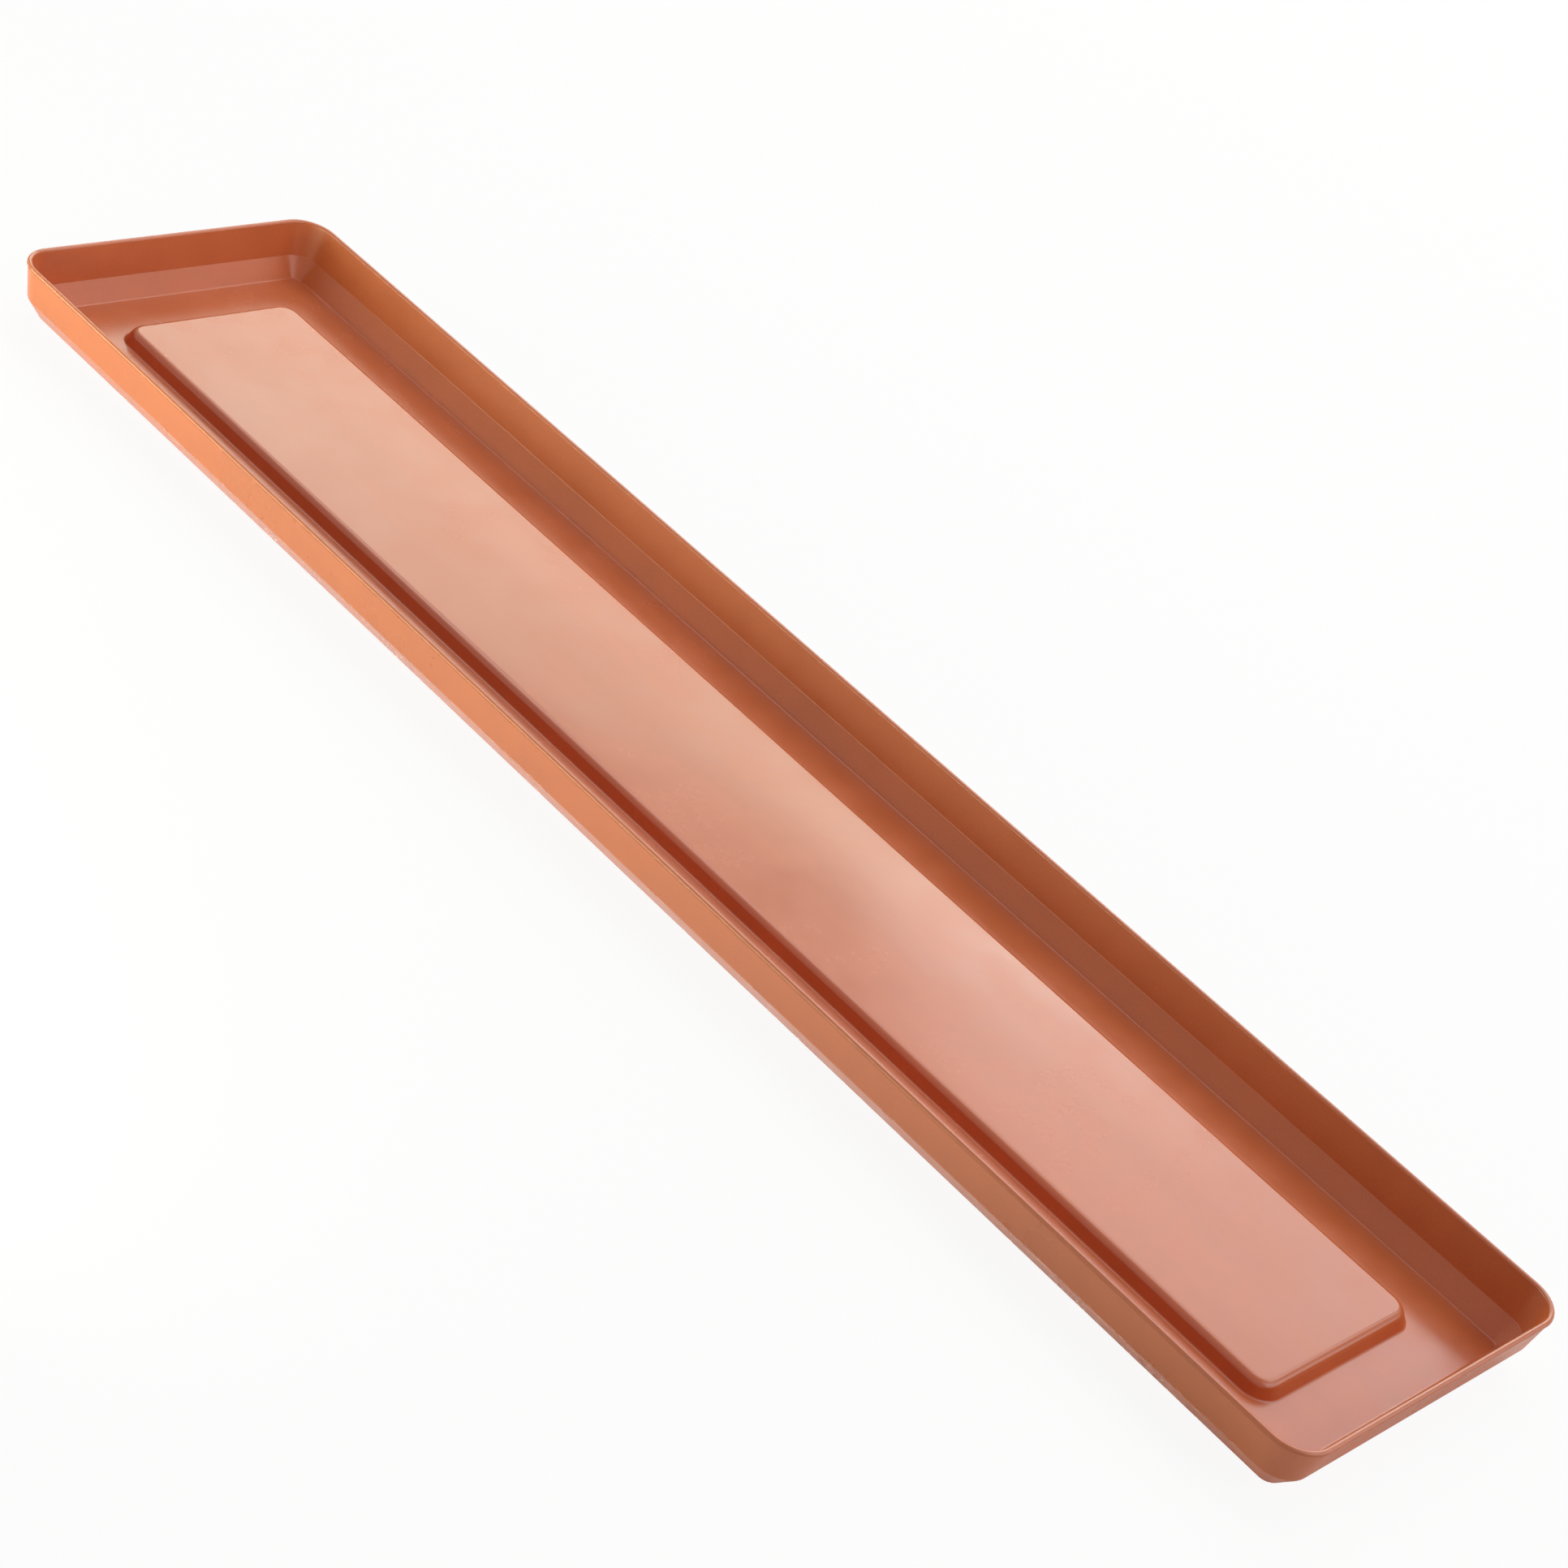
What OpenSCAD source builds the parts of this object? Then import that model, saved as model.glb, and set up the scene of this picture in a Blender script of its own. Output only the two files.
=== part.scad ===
// Long shallow tray that stands under a planter box and catches its drips.
// It is one moulded sheet of even thickness: rim lip, leaning wall, sloping band, channel and platform.
// X runs along the length, Y across it, Z up from the ground the tray stands on.

/* [Tray] */
// length over the rim
tray_length = 762; // [420:1:1000]
// width over the rim
tray_width = 167; // [140:1:240]
// height from the ground to the top of the rim
tray_height = 26.7; // [24:0.1:32]
// thickness of the moulded sheet
sheet = 2; // [1.6:0.1:2.4]
// radius of the rim's corners, seen from above
corner_r = 16; // [15:0.5:24]

/* [Rim lip] */
// how far the round lip stands out over the wall below it
lip_step = 0.4; // [0.2:0.05:0.8]

/* [Side walls] */
// depth below the rim where the wall bends into the sloping band
wall_depth = 17.1; // [14:0.1:18]
// how far the wall has come in from the rim at that bend
wall_reach = 3.5; // [2.4:0.1:3.8]
// how far the band's bottom edge has come in from the rim
band_reach = 11.1; // [10:0.1:12]
// inside radius of the bend between wall and band
crease_r = 1; // [0.6:0.1:1.6]
// inside radius of the bend between band and channel
base_r = 1.2; // [0.6:0.1:1.8]

/* [Channel and platform] */
// width of the channel floor between the band and the platform
channel_width = 23.6; // [16:0.2:30]
// height of the platform's top over the channel floor
platform_rise = 6.1; // [5.5:0.1:8]
// radius of the platform's corners at its foot, seen from above
platform_corner_r = 10.5; // [9.5:0.5:16]
// lean of the platform's sides from upright, in degrees
platform_lean = 26; // [20:1:32]
// outside radius along the platform's top edge
platform_edge_r = 4; // [3.6:0.1:4.4]
// inside radius along the platform's foot
platform_foot_r = 1; // [0.6:0.1:1.4]

/* [Hidden] */
terracotta = [0.72, 0.38, 0.26];
// corner centres are kept to this step, so that straight and round stretches meet exactly
grid = 0.01;
// turn between neighbouring points of a round in a section, in degrees
arc_step = 9;
$fn = 48;

// A section point is [distance out from the line through the corner's centre, height].
up = [0, 1];

// the lip is half a round whose flat side lies square to the wall
lip_r = (sheet + lip_step) / 2;
lip_centre = [corner_r - lip_r, tray_height - lip_r];

// leans of the wall and of the band from upright
wall_run = [wall_reach - lip_r, wall_depth - lip_r];
wall_lean = atan2(wall_run[0], wall_run[1]) + asin((sheet - lip_r) / norm(wall_run));
band_lean = atan2(band_reach - wall_reach, tray_height - wall_depth);

// directions square to the wall, the band and the platform's side
wall_in = [-cos(wall_lean), sin(wall_lean)];
band_in = [-cos(band_lean), sin(band_lean)];
side_out = [cos(platform_lean), sin(platform_lean)];

// centres of the two bends under the rim
crease_centre = round_centre([corner_r - wall_reach, tray_height - wall_depth],
    wall_in, band_in, sheet + crease_r);
base_centre = round_centre([corner_r - band_reach, 0], band_in, up, sheet + base_r);

// how far in from the rim the channel floor would start if its bend were sharp
channel_start = corner_r - (base_centre - miter(band_in, up) * base_r)[0];

// centres of the two bends round the platform
platform_top = sheet + platform_rise;
foot_centre = round_centre([platform_corner_r, sheet], side_out, up, platform_foot_r);
edge_centre = round_centre([platform_corner_r - platform_rise * tan(platform_lean), platform_top],
    side_out, up, -platform_edge_r);
foot_end = platform_corner_r + platform_foot_r;

// half distances from the tray's middle to the corner centres of the rim and of the platform
rim_half = [on_grid(tray_length / 2 - corner_r), on_grid(tray_width / 2 - corner_r)];
platform_setback = channel_start + channel_width + platform_corner_r - corner_r;
platform_half = [on_grid(rim_half[0] - platform_setback), on_grid(rim_half[1] - platform_setback)];

function on_grid(length) = round(length / grid) * grid;

// from a sharp corner to the centre of a round of radius 1 that touches both its sides
function miter(normal_a, normal_b) = (normal_a + normal_b) / (1 + normal_a * normal_b);

function round_centre(corner, normal_a, normal_b, r) = corner + miter(normal_a, normal_b) * r;

function arc(centre, r, from, to) =
    let (steps = ceil(abs(to - from) / arc_step))
    [for (i = [0:steps])
        let (angle = from + (to - from) * i / steps)
        centre + r * [cos(angle), sin(angle)]];

// Rim lip, wall, sloping band and the start of the channel floor, as one bent sheet.
module wall_section() {
    outside = concat(
        arc(lip_centre, lip_r, 180 - wall_lean, -wall_lean),
        [lip_centre + wall_in * (lip_r - sheet)],
        arc(crease_centre, sheet + crease_r, -wall_lean, -band_lean),
        arc(base_centre, sheet + base_r, -band_lean, -90),
        [[0, 0]]);
    inside = concat(
        [[0, sheet]],
        arc(base_centre, base_r, -90, -band_lean),
        arc(crease_centre, crease_r, -band_lean, -wall_lean));
    polygon(concat(outside, inside));
}

// Foot, side and top edge of the platform, as one bent sheet.
module platform_section() {
    above = concat(
        [[foot_end, sheet]],
        arc(foot_centre, platform_foot_r, 270, 180 + platform_lean),
        arc(edge_centre, platform_edge_r, platform_lean, 90),
        [[0, platform_top]]);
    below = concat(
        [[0, platform_rise]],
        arc(edge_centre, platform_edge_r - sheet, 90, platform_lean),
        arc(foot_centre, platform_foot_r + sheet, 180 + platform_lean, 270),
        [[foot_end, 0]]);
    polygon(concat(above, below));
}

// Carries a section round a frame with round corners, given the half distances to their centres.
module carried_round(half) {
    for (turn = [0:3]) {
        place = turn % 2 == 0 ? half : [half[1], half[0]];
        rotate(90 * turn)
            translate(place) {
                rotate_extrude(angle = 90)
                    children();
                rotate([90, 0, 0])
                    linear_extrude(height = 2 * place[1])
                        children();
            }
    }
}

module rounded_outline(half, r) {
    square([2 * (half[0] + r), 2 * half[1]], center = true);
    square([2 * half[0], 2 * (half[1] + r)], center = true);
    for (x = [-half[0], half[0]], y = [-half[1], half[1]])
        translate([x, y])
            circle(r = r);
}

module channel_floor() {
    linear_extrude(height = sheet)
        difference() {
            square(2 * rim_half, center = true);
            rounded_outline(platform_half, foot_end);
        }
}

module platform_plate() {
    translate([0, 0, platform_rise])
        linear_extrude(height = sheet)
            square(2 * platform_half, center = true);
}

module saucer() {
    color(terracotta)
        union() {
            carried_round(rim_half)
                wall_section();
            channel_floor();
            carried_round(platform_half)
                platform_section();
            platform_plate();
        }
}

saucer();
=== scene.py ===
import math

import bmesh
import bpy
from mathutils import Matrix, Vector, noise


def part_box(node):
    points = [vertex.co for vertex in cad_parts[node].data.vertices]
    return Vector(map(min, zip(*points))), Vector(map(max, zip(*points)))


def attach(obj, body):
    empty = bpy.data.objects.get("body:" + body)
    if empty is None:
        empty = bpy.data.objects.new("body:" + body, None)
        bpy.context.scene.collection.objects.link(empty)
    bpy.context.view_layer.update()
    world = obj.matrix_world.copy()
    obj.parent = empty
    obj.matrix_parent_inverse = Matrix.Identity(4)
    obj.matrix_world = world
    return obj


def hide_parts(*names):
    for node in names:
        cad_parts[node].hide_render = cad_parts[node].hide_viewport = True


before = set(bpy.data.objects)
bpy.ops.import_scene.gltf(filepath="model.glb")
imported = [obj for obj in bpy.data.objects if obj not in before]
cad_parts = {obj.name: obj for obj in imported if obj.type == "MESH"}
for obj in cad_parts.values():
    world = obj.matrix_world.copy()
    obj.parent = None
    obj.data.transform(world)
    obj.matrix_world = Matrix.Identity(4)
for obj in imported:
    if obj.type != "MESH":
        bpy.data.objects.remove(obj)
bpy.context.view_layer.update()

MM = 0.001

# The tray's overall sizes come from its solid, and the others repeat the solid's own dimensions.
low_corner, high_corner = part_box("saucer")
LENGTH, WIDTH, HEIGHT = high_corner - low_corner
SHEET = 2 * MM
CORNER_R = 16 * MM
LIP_STEP = 0.4 * MM
WALL_DEPTH = 17.1 * MM
WALL_REACH = 3.5 * MM
BAND_REACH = 11.1 * MM
CREASE_R = 1 * MM
BASE_R = 1.2 * MM
CHANNEL_WIDTH = 23.6 * MM
PLATFORM_RISE = 6.1 * MM
PLATFORM_CORNER_R = 10.5 * MM
PLATFORM_LEAN = math.radians(26)
PLATFORM_EDGE_R = 4 * MM
PLATFORM_FOOT_R = 1 * MM

# Small rounds under the lip, where the solid's corners are sharp
LIP_UNDER_R = 0.12 * MM

# How finely the sheet is meshed: steps round and along, with rows close to each bend to keep flats flat
BEND_STEP = math.radians(7)
CORNER_STEPS = 16
LONG_STEPS = 76
SHORT_STEPS = 16
FLAT_STEP = 5 * MM
SUPPORT = 0.06 * MM
LARGEST_SUPPORT_SHARE = 0.1
SHORTEST_FLAT = 4 * SUPPORT
MERGE = 0.001 * MM

# How far the platform's thin plate lies out of true: a low crown along part of it, with waves
CROWN = 0.8 * MM
CROWN_X = 60 * MM
CROWN_REACH = 240 * MM
WAVE_HEIGHT = 0.4 * MM
WAVE_LENGTH = 110 * MM
WAVE_FADE = 30 * MM

# How much of the mould's grain each flat of the section has, from the platform's top to its underside
GRAIN_SHARES = (0, 0, 0, 1, 1, 0, 0, 0, 0.7, 0.7, 1, 1, 1)
# How much each bend between those flats is rubbed
WEAR_SHARES = (0.6, 0.1, 0, 0.1, 1, 1, 0, 0, 0.4, 1, 0, 0)

# Linear colours of the plastic, where the pigment lies deepest and palest, and where it is rubbed
DEEP = (0.545, 0.134, 0.044, 1)
PALE = (0.63, 0.158, 0.054, 1)
RUBBED = (0.70, 0.24, 0.12, 1)

# Noises in the plastic's colour and gloss: repeats per metre, octaves, and the span of values that counts
CLOUDS = (7, 4, 0.35, 0.65)
FLOW_LINES = ((2.5, 45, 45), 3, 0.3, 0.7)
MOTTLE = (60, 3, 0.3, 0.7)
RUBS = (160, 5, 0.5, 0.62)
# How much each of the first three counts in the tint, and how far the grain's pits move it
CLOUD_SHARE = 0.5
FLOW_SHARE = 0.25
MOTTLE_SHARE = 0.25
PIT_SPAN = (0.3, 0.7)
PIT_TINT = 0.3

# Noises in the surface, in repeats per metre
GRAIN_SCALE = 2000
PEEL_SCALE = 350

# Depths of the bumps that the mould left
GRAIN_DEPTH = 0.007 * MM
PEEL_DEPTH = 0.001 * MM

# Roughness of the smooth plastic, what the grain adds, how far it varies, and what rubbing takes away
SMOOTH_ROUGHNESS = 0.24
GRAIN_ROUGHNESS = 0.09
ROUGHNESS_SPREAD = 0.04
POLISH = 0.08
SPECULAR_LEVEL = 0.5
# How far rubbing pales the plastic
RUB_SHARE = 0.05

# Colours of the light, chosen to match the photograph's hues: pale green low on the near left, a little
# cool from the back right, and warm from the back left, low in front and below
NEUTRAL = (1, 1, 1)
WARM = (1, 0.97, 0.8)
COOL = (0.95, 0.97, 1)
PALE_GREEN = (0.8, 1, 0.72)
# Softboxes round the tray: azimuth and elevation in degrees, distance, width, height, radiance and colour
SOFTBOXES = {
    "back_softbox": (132, 26, 2.4, 2.0, 0.7, 3.4, WARM),
    "back_right_softbox": (104, 34, 2.4, 0.9, 0.5, 3.5, COOL),
    "high_softbox": (115, 60, 2.2, 2.9, 1.3, 2.4, NEUTRAL),
    "right_softbox": (22, 28, 2.2, 2.3, 1.6, 1.55, NEUTRAL),
    "high_right_softbox": (10, 50, 2.0, 1.2, 0.8, 1.4, NEUTRAL),
    "front_softbox": (247, 23, 1.4, 1.0, 0.4, 0.5, NEUTRAL),
}
# Low boxes for the near wall and left corner, and one that shines up through the floor: place, the point
# that they aim at, width, height, radiance and colour
LOW_BOXES = {
    "low_left_box": ((-0.52, -0.60, 0.11), (-0.33, -0.08, 0), 0.7, 0.18, 4.0, PALE_GREEN),
    "low_right_box": ((0.15, -0.60, 0.11), (0.1, -0.08, 0), 0.5, 0.18, 0.2, WARM),
    "corner_box": ((-0.80, -0.45, 0.16), (-0.35, -0.08, 0.01), 0.30, 0.28, 1.6, WARM),
    "floor_strip": ((-0.30, -0.36, 0.05), (-0.25, -0.10, 0), 0.75, 0.08, 6.6, PALE_GREEN),
    "table_softbox": ((0, -0.20, -0.45), (0, -0.15, 0), 1.4, 0.8, 0.3, WARM),
}
AMBIENT = 0.02

# The floor, and how much of its white is its own: to the camera, in the tray's gloss, and far away
FLOOR_SIZE = 120
FLOOR_GAP = 0.1 * MM
FLOOR_WHITE = (0.88, 0.88, 0.88, 1)
WHITE = (1, 1, 1, 1)
CAMERA_GLOW = 0.92
GLOSS_GLOW = 1
GLOW_REACHES = (0.6, 2)
# A painted shade on the floor, seen only in the tray's gloss: the floor's glow there fades towards the
# right and back, set to match the photograph. Its direction over the floor, the glow that is left, and
# how far along that direction the fade ends and where it starts
PAINTED_SHADE_WAY = (0.6, 1, 0)
PAINTED_SHADE_GLOW = 0.02
PAINTED_SHADE_REACHES = (0.2, -0.05)

# Camera: its place, its turn about X, Y and Z, and its lens
CAMERA_PLACE = (0.6776, -0.9787, 0.7758)
CAMERA_TURN = (55.349, -18.892, 45.966)
CAMERA_LENS_MM = 81.8
SENSOR_MM = 36


def mitre(normal_a, normal_b):
    """From a sharp corner to the centre of a round of radius 1 that touches both its sides."""
    return (normal_a + normal_b) / (1 + normal_a.dot(normal_b))


def section_corners():
    """The bent sheet's sharp corners as (inset from the rim, height) and bend radius, from the middle of
    its upper side out to the lip, and back under it to the middle of its lower side."""
    lip_r = (SHEET + LIP_STEP) / 2
    run = Vector((WALL_REACH - lip_r, WALL_DEPTH - lip_r))
    wall_lean = math.atan2(run.x, run.y) + math.asin((SHEET - lip_r) / run.length)
    band_lean = math.atan2(BAND_REACH - WALL_REACH, HEIGHT - WALL_DEPTH)
    wall_in = Vector((math.cos(wall_lean), math.sin(wall_lean)))
    wall_up = Vector((-math.sin(wall_lean), math.cos(wall_lean)))
    band_in = Vector((math.cos(band_lean), math.sin(band_lean)))
    side_out = Vector((-math.cos(PLATFORM_LEAN), math.sin(PLATFORM_LEAN)))
    up = Vector((0, 1))
    lip = Vector((lip_r, HEIGHT - lip_r))
    crease = Vector((WALL_REACH, HEIGHT - WALL_DEPTH))
    base = Vector((BAND_REACH, 0))
    base_inside = base + mitre(band_in, up) * SHEET
    foot = Vector((base_inside.x + CHANNEL_WIDTH, SHEET))
    edge = foot + Vector((PLATFORM_RISE * math.tan(PLATFORM_LEAN), PLATFORM_RISE))
    middle = Vector((WIDTH / 2, edge.y))
    below = mitre(side_out, up) * -SHEET
    return [
        (middle, 0),
        (edge, PLATFORM_EDGE_R),
        (foot, PLATFORM_FOOT_R),
        (base_inside, BASE_R),
        (crease + mitre(wall_in, band_in) * SHEET, CREASE_R),
        (lip + (wall_in + wall_up) * lip_r, lip_r),
        (lip + (wall_up - wall_in) * lip_r, lip_r),
        (lip - wall_in * lip_r, LIP_UNDER_R),
        (lip + wall_in * (lip_r - SHEET), LIP_UNDER_R),
        (crease, SHEET + CREASE_R),
        (base, SHEET + BASE_R),
        (foot + below, SHEET + PLATFORM_FOOT_R),
        (edge + below, PLATFORM_EDGE_R - SHEET),
        (middle - up * SHEET, 0),
    ]


def bend(before, corner, after, r):
    """Points along the round of radius r that takes the place of a sharp corner."""
    way_in = (corner - before).normalized()
    way_out = (after - corner).normalized()
    turn = way_in.angle_signed(way_out)
    reach = r * math.tan(abs(turn) / 2)
    side = Vector((-way_in.y, way_in.x)) * math.copysign(r, -turn)
    start = corner - way_in * reach
    centre = start + side
    steps = max(1, math.ceil(abs(turn) / BEND_STEP))
    spoke = start - centre
    points = []
    for i in range(steps + 1):
        angle = -turn * i / steps
        points.append(centre + Vector((
            spoke.x * math.cos(angle) - spoke.y * math.sin(angle),
            spoke.x * math.sin(angle) + spoke.y * math.cos(angle))))
    return points


def straight(start, end):
    """Points between two bends: one close to each end, and an even row between."""
    length = (end - start).length
    if length < SHORTEST_FLAT:
        return []
    steps = math.ceil(length / FLAT_STEP)
    shares = [SUPPORT / length] + [i / steps for i in range(1, steps)] + [1 - SUPPORT / length]
    return [start.lerp(end, share) for share in shares]


def section():
    """The whole section as one row of (point, share of grain, share of wear)."""
    corners = section_corners()
    row = [(corners[0][0], GRAIN_SHARES[0], 0)]
    for i, ((before, _), (corner, r), (after, _)) in enumerate(zip(corners, corners[1:], corners[2:])):
        rounded = bend(before, corner, after, r)
        row += [(point, GRAIN_SHARES[i], 0) for point in straight(row[-1][0], rounded[0])]
        for k, point in enumerate(rounded):
            share = k / (len(rounded) - 1)
            grain = GRAIN_SHARES[i] * (1 - share) + GRAIN_SHARES[i + 1] * share
            row.append((point, grain, WEAR_SHARES[i]))
    last = corners[-1][0]
    row += [(point, GRAIN_SHARES[-1], 0) for point in straight(row[-1][0], last)]
    row.append((last, GRAIN_SHARES[-1], 0))
    return row


def corner_radii():
    """Where the outlines' corner radius changes its rate, as (inset from the rim, radius)."""
    corners = section_corners()
    edge, foot, base_inside = (corners[i][0] for i in (1, 2, 3))
    half_turn = (math.pi / 2 - PLATFORM_LEAN) / 2
    flat_start = edge.x + PLATFORM_EDGE_R * math.tan(half_turn)
    band_turn = math.pi / 2 - math.atan2(BAND_REACH - WALL_REACH, HEIGHT - WALL_DEPTH)
    base_end = base_inside.x + BASE_R * math.tan(band_turn / 2)
    return [
        (0, CORNER_R),
        (base_end, CORNER_R - base_end),
        (foot.x - PLATFORM_FOOT_R, PLATFORM_CORNER_R + PLATFORM_FOOT_R),
        (flat_start, PLATFORM_CORNER_R - (flat_start - foot.x)),
        (WIDTH / 2, 0),
    ]


def corner_radius(inset, radii):
    """The radius of the corners of the outline that lies this far in from the rim."""
    for (start, r), (end, next_r) in zip(radii, radii[1:]):
        if inset <= end:
            return r + (next_r - r) * (inset - start) / (end - start)
    return radii[-1][1]


def side_shares(steps, length):
    """Even shares along a straight side, with one close to each end."""
    support = LARGEST_SUPPORT_SHARE
    if length > MERGE:
        support = min(SUPPORT / length, support)
    return [support] + [i / steps for i in range(1, steps)] + [1 - support]


def outline(inset, height, r):
    """One ring round the tray: four round corners and the straights between them."""
    half = Vector((LENGTH / 2 - inset - r, WIDTH / 2 - inset - r))
    ring = []
    for quarter in range(4):
        quadrant = Vector(((1, 1), (-1, 1), (-1, -1), (1, -1))[quarter])
        after = Vector(((-1, 1), (-1, -1), (1, -1), (1, 1))[quarter])
        centre = quadrant * half
        for i in range(CORNER_STEPS + 1):
            angle = math.pi / 2 * (quarter + i / CORNER_STEPS)
            ring.append(centre + r * Vector((math.cos(angle), math.sin(angle))))
        start = ring[-1]
        end = start + (after - quadrant) * half
        steps = LONG_STEPS if quarter % 2 == 0 else SHORT_STEPS
        ring += [start.lerp(end, share) for share in side_shares(steps, (end - start).length)]
    return [(p.x, p.y, height) for p in ring]


def out_of_true(x, y, inset, flat_start):
    """How far the platform's thin plate stands over a true plane."""
    depth = min(1, max(0, (inset - flat_start) / (WIDTH / 2 - flat_start)))
    fade = min(1, max(0, (inset - flat_start) / WAVE_FADE))
    place = Vector((x / WAVE_LENGTH, y / WAVE_LENGTH, 0))
    swell = max(0, 1 - ((x - CROWN_X) / CROWN_REACH) ** 2)
    crown = CROWN * swell * swell * (1 - (1 - depth) ** 2)
    return crown + WAVE_HEIGHT * fade * fade * (3 - 2 * fade) * noise.noise(place)


def saucer_mesh():
    """The whole tray as rings of points joined by faces, with its shares of grain and wear."""
    radii = corner_radii()
    flat_start = radii[3][0]
    mesh = bmesh.new()
    grains = mesh.verts.layers.float.new("grain")
    wears = mesh.verts.layers.float.new("wear")
    rings = []
    for point, grain, wear in section():
        inset, height = point
        ring = []
        for x, y, z in outline(inset, height, corner_radius(inset, radii)):
            vertex = mesh.verts.new((x, y, z + out_of_true(x, y, inset, flat_start)))
            vertex[grains] = grain
            vertex[wears] = wear
            ring.append(vertex)
        rings.append(ring)
    count = len(rings[0])
    for inner, outer in zip(rings, rings[1:]):
        for i in range(count):
            j = (i + 1) % count
            mesh.faces.new((inner[i], inner[j], outer[j], outer[i]))
    bmesh.ops.remove_doubles(mesh, verts=mesh.verts, dist=MERGE)
    bmesh.ops.recalc_face_normals(mesh, faces=mesh.faces)
    for face in mesh.faces:
        face.smooth = True
    data = bpy.data.meshes.new("saucer_sheet")
    mesh.to_mesh(data)
    mesh.free()
    return data


def add_saucer():
    piece = bpy.data.objects.new("saucer_sheet", saucer_mesh())
    bpy.context.scene.collection.objects.link(piece)
    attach(piece, "root")
    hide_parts("saucer")
    piece.data.materials.append(terracotta_plastic())


class Nodes:
    """Adds nodes to one tree: a socket given as an input is linked, and any other value is set."""

    def __init__(self, tree):
        self.tree = tree

    def add(self, kind, inputs=(), **settings):
        node = self.tree.nodes.new("ShaderNode" + kind)
        for name, value in settings.items():
            setattr(node, name, value)
        for key, value in dict(inputs).items():
            self.put(node.inputs[key], value)
        return node

    def put(self, socket, value):
        if isinstance(value, bpy.types.NodeSocket):
            self.tree.links.new(value, socket)
        else:
            socket.default_value = value

    def noise(self, place, scale, detail=2):
        """Noise from 0 to 1 at one scale, or at three along X, Y and Z."""
        if isinstance(scale, tuple):
            place = self.add("Mapping", {"Vector": place, "Scale": scale}).outputs[0]
            scale = 1
        return self.add("TexNoise", {"Vector": place, "Scale": scale, "Detail": detail}).outputs["Fac"]

    def spread_noise(self, place, scale, detail, start, end):
        """Noise of which a span of values is spread from 0 to 1."""
        return self.remap(self.noise(place, scale, detail), start, end)

    def remap(self, value, start, end, low=0, high=1):
        inputs = {"Value": value, "From Min": start, "From Max": end, "To Min": low, "To Max": high}
        return self.add("MapRange", inputs, interpolation_type="SMOOTHSTEP").outputs[0]

    def math(self, operation, a, b):
        return self.add("Math", {0: a, 1: b}, operation=operation).outputs[0]

    def mix(self, share, a, b):
        return self.add("Mix", {0: share, 6: a, 7: b}, data_type="RGBA").outputs[2]

    def bump(self, height, depth, below=None):
        inputs = {"Height": height, "Distance": depth, "Strength": 1}
        if below:
            inputs["Normal"] = below
        return self.add("Bump", inputs).outputs[0]


def terracotta_plastic():
    """Moulded plastic: a tint that varies, a grain where the mesh has one, and rubbed, glossier bends."""
    material = bpy.data.materials.new("moulded_terracotta")
    material.use_nodes = True
    nodes = Nodes(material.node_tree)
    place = nodes.add("TexCoord").outputs["Object"]
    grain = nodes.add("Attribute", attribute_name="grain").outputs["Fac"]
    wear = nodes.add("Attribute", attribute_name="wear").outputs["Fac"]

    cloud = nodes.spread_noise(place, *CLOUDS)
    flow = nodes.spread_noise(place, *FLOW_LINES)
    mottle = nodes.spread_noise(place, *MOTTLE)
    pits = nodes.noise(place, GRAIN_SCALE)
    peel = nodes.noise(place, PEEL_SCALE)
    rub = nodes.math("MULTIPLY", nodes.spread_noise(place, *RUBS), wear)

    tint = nodes.math("MULTIPLY", cloud, CLOUD_SHARE)
    tint = nodes.math("ADD", tint, nodes.math("MULTIPLY", flow, FLOW_SHARE))
    tint = nodes.math("ADD", tint, nodes.math("MULTIPLY", mottle, MOTTLE_SHARE))
    speck = nodes.math("MULTIPLY", nodes.remap(pits, *PIT_SPAN, -PIT_TINT, PIT_TINT), grain)
    colour = nodes.mix(nodes.math("ADD", tint, speck), DEEP, PALE)
    colour = nodes.mix(nodes.math("MULTIPLY", rub, RUB_SHARE), colour, RUBBED)

    rough = nodes.math("ADD", nodes.math("MULTIPLY", grain, GRAIN_ROUGHNESS), SMOOTH_ROUGHNESS)
    for uneven in (cloud, mottle):
        spread = nodes.remap(uneven, 0, 1, -ROUGHNESS_SPREAD / 2, ROUGHNESS_SPREAD / 2)
        rough = nodes.math("ADD", rough, spread)
    rough = nodes.math("SUBTRACT", rough, nodes.math("MULTIPLY", wear, POLISH))

    normal = nodes.bump(nodes.math("MULTIPLY", pits, grain), GRAIN_DEPTH)
    normal = nodes.bump(peel, PEEL_DEPTH, normal)

    shader = material.node_tree.nodes["Principled BSDF"]
    nodes.put(shader.inputs["Base Color"], colour)
    nodes.put(shader.inputs["Roughness"], rough)
    nodes.put(shader.inputs["Normal"], normal)
    nodes.put(shader.inputs["Specular IOR Level"], SPECULAR_LEVEL)
    return material


def seen_share(nodes, camera_share, gloss_share):
    """One share for camera rays, another for mirrored or passed ones, and 0 for those that light."""
    path = nodes.add("LightPath")
    mirrored = nodes.math("MAXIMUM", path.outputs["Is Glossy Ray"], path.outputs["Is Transmission Ray"])
    seen = nodes.math("MULTIPLY", path.outputs["Is Camera Ray"], camera_share)
    return nodes.math("MAXIMUM", seen, nodes.math("MULTIPLY", mirrored, gloss_share))


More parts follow.
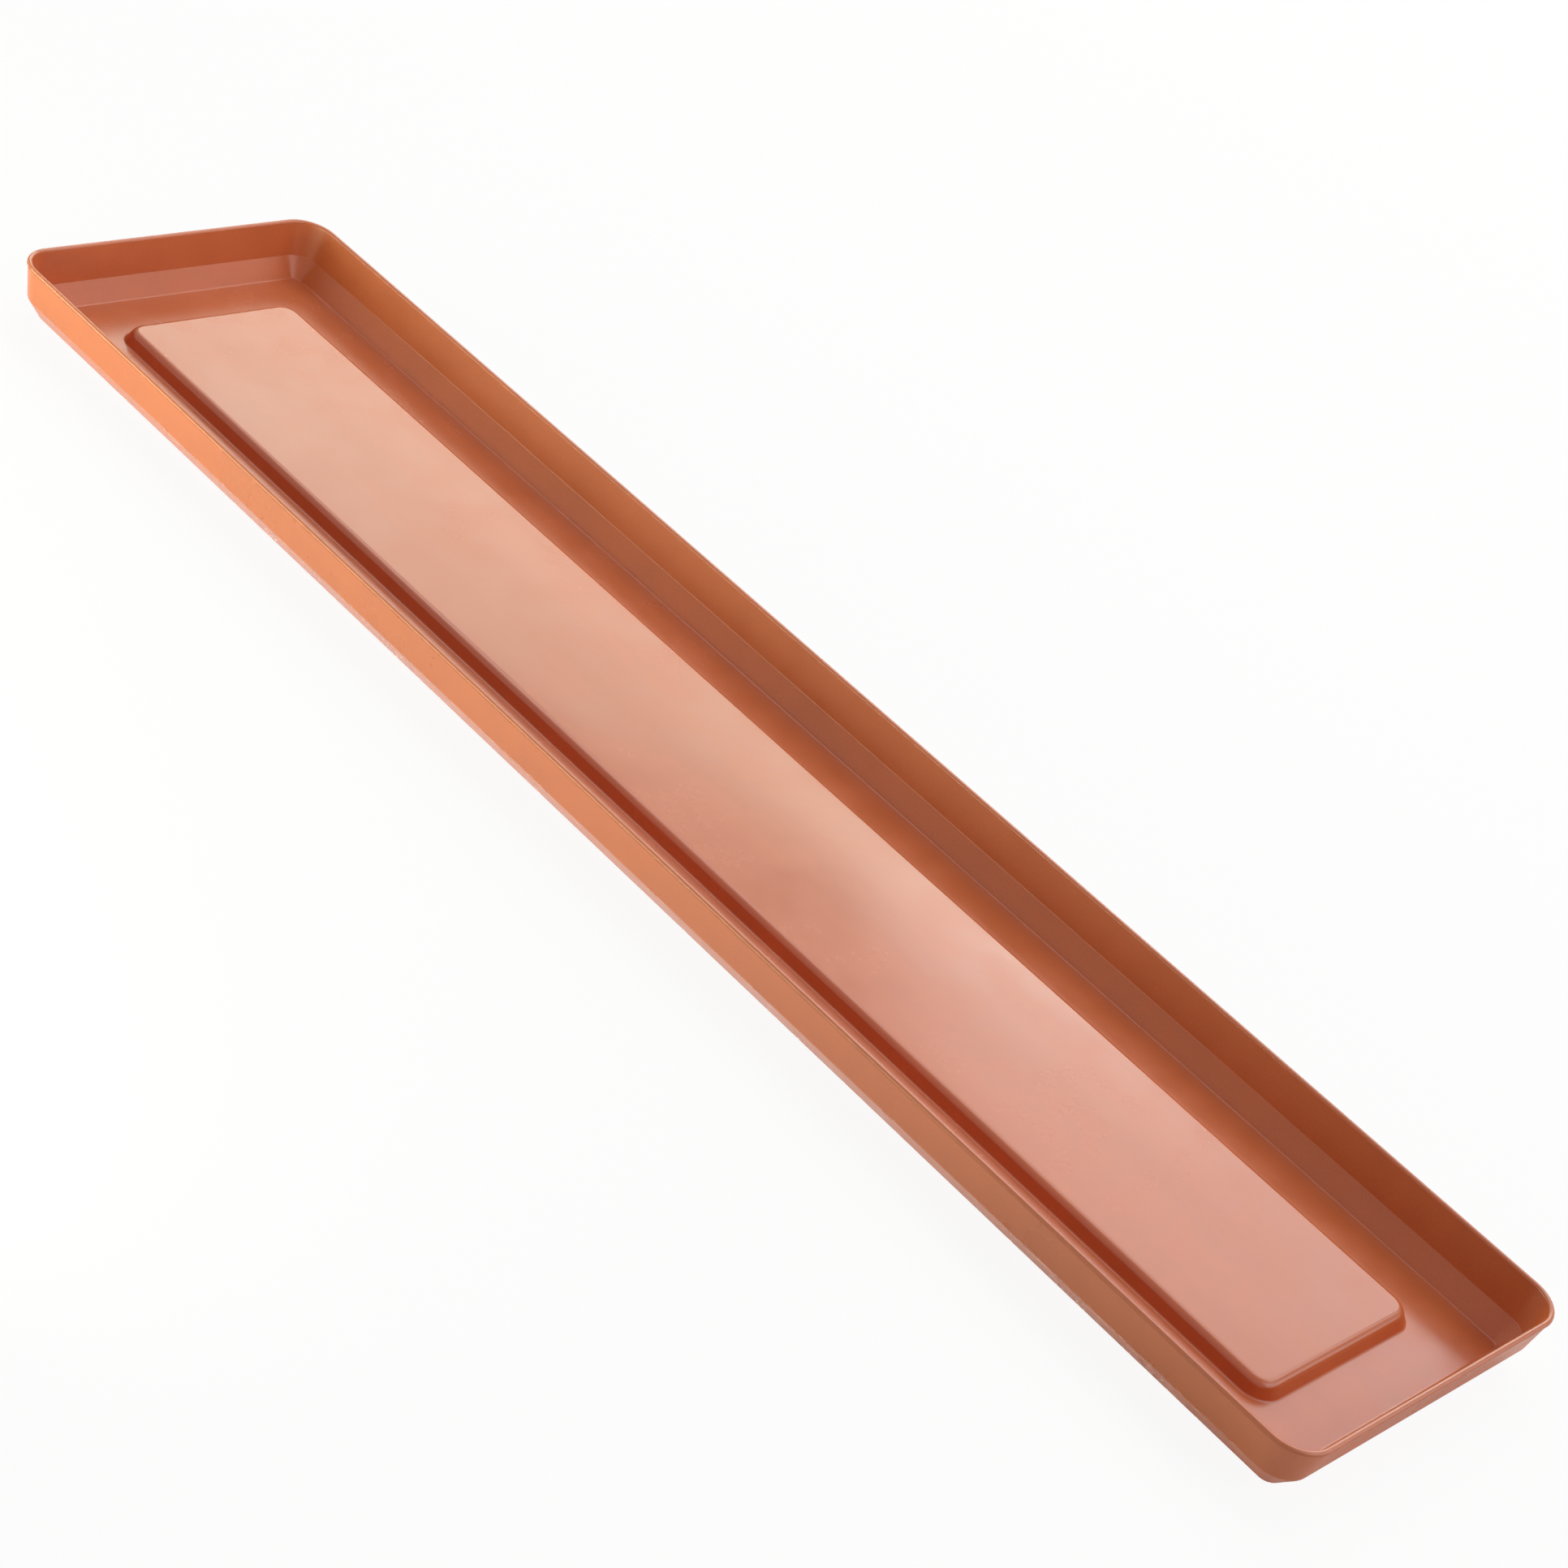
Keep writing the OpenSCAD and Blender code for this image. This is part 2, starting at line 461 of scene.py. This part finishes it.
def pale_floor():
    """A white that keeps the tray's shade near it, with a painted shade in the tray's gloss towards the
    right and back, and is clear from below and to light on its way.
    """
    material = bpy.data.materials.new("pale_floor")
    material.use_nodes = True
    material.node_tree.nodes.clear()
    nodes = Nodes(material.node_tree)
    place = nodes.add("TexCoord").outputs["Object"]
    distance = nodes.add("VectorMath", {0: place}, operation="LENGTH").outputs["Value"]
    along = nodes.add("VectorMath", {0: place, 1: PAINTED_SHADE_WAY}, operation="DOT_PRODUCT").outputs["Value"]
    # The floor's glow in the tray's gloss fades towards the right and back: a painted shade, seen only in
    # reflections
    near = seen_share(nodes, CAMERA_GLOW, nodes.remap(along, *PAINTED_SHADE_REACHES, PAINTED_SHADE_GLOW, GLOSS_GLOW))
    far = seen_share(nodes, 1, 1)
    share = nodes.add("Mix", {0: nodes.remap(distance, *GLOW_REACHES), 2: near, 3: far}).outputs[0]
    diffuse = nodes.add("BsdfDiffuse", {"Color": FLOOR_WHITE}).outputs[0]
    glow = nodes.add("Emission", {"Color": WHITE, "Strength": 1}).outputs[0]
    surface = nodes.add("MixShader", {0: share, 1: diffuse, 2: glow}).outputs[0]
    clear = nodes.add("BsdfTransparent").outputs[0]
    below = nodes.add("NewGeometry").outputs["Backfacing"]
    lighting = nodes.add("LightPath").outputs["Is Shadow Ray"]
    opening = nodes.math("MAXIMUM", below, lighting)
    surface = nodes.add("MixShader", {0: opening, 1: surface, 2: clear}).outputs[0]
    nodes.add("OutputMaterial", {"Surface": surface})
    return material


def add_floor():
    """A floor that hides nothing from below and lets the light under it through."""
    bpy.ops.mesh.primitive_plane_add(size=FLOOR_SIZE, location=(0, 0, -FLOOR_GAP))
    floor = bpy.context.object
    floor.name = "floor"
    floor.data.materials.append(pale_floor())


def add_softbox(name, place, aim, width, height, radiance, colour):
    light = bpy.data.lights.new(name, "AREA")
    light.shape = "RECTANGLE"
    light.size = width
    light.size_y = height
    light.energy = radiance * math.pi * width * height
    light.color = colour
    box = bpy.data.objects.new(name, light)
    bpy.context.scene.collection.objects.link(box)
    box.location = place
    box.rotation_euler = (Vector(aim) - Vector(place)).to_track_quat("-Z", "Y").to_euler()
    return box


def add_round_softbox(name, azimuth, elevation, distance, width, height, radiance, colour):
    """A softbox that faces the tray's middle from a given direction."""
    azimuth = math.radians(azimuth)
    elevation = math.radians(elevation)
    level = distance * math.cos(elevation)
    place = (level * math.cos(azimuth), level * math.sin(azimuth), distance * math.sin(elevation))
    return add_softbox(name, place, (0, 0, 0), width, height, radiance, colour)


def add_lights():
    for name, box in SOFTBOXES.items():
        add_round_softbox(name, *box)
    for name, box in LOW_BOXES.items():
        add_softbox(name, *box)
    # The floor stops the rays that would find this light by chance, so it is sampled in one way only
    bpy.data.lights["table_softbox"].cycles.use_multiple_importance_sampling = False


def add_world():
    """A dim even light, which is plain white where the camera sees it."""
    world = bpy.data.worlds.new("studio")
    bpy.context.scene.world = world
    world.use_nodes = True
    world.node_tree.nodes.clear()
    nodes = Nodes(world.node_tree)
    ambient = nodes.add("Background", {"Color": WHITE, "Strength": AMBIENT}).outputs[0]
    white = nodes.add("Background", {"Color": WHITE, "Strength": 1}).outputs[0]
    surface = nodes.add("MixShader", {0: seen_share(nodes, 1, 1), 1: ambient, 2: white}).outputs[0]
    nodes.add("OutputWorld", {"Surface": surface})


def add_camera():
    camera = bpy.data.cameras.new("camera")
    camera.lens = CAMERA_LENS_MM
    camera.sensor_width = SENSOR_MM
    eye = bpy.data.objects.new("camera", camera)
    bpy.context.scene.collection.objects.link(eye)
    eye.location = CAMERA_PLACE
    eye.rotation_euler = [math.radians(angle) for angle in CAMERA_TURN]
    bpy.context.scene.camera = eye


add_saucer()
add_floor()
add_lights()
add_world()
add_camera()
bpy.context.scene.view_settings.view_transform = "Standard"
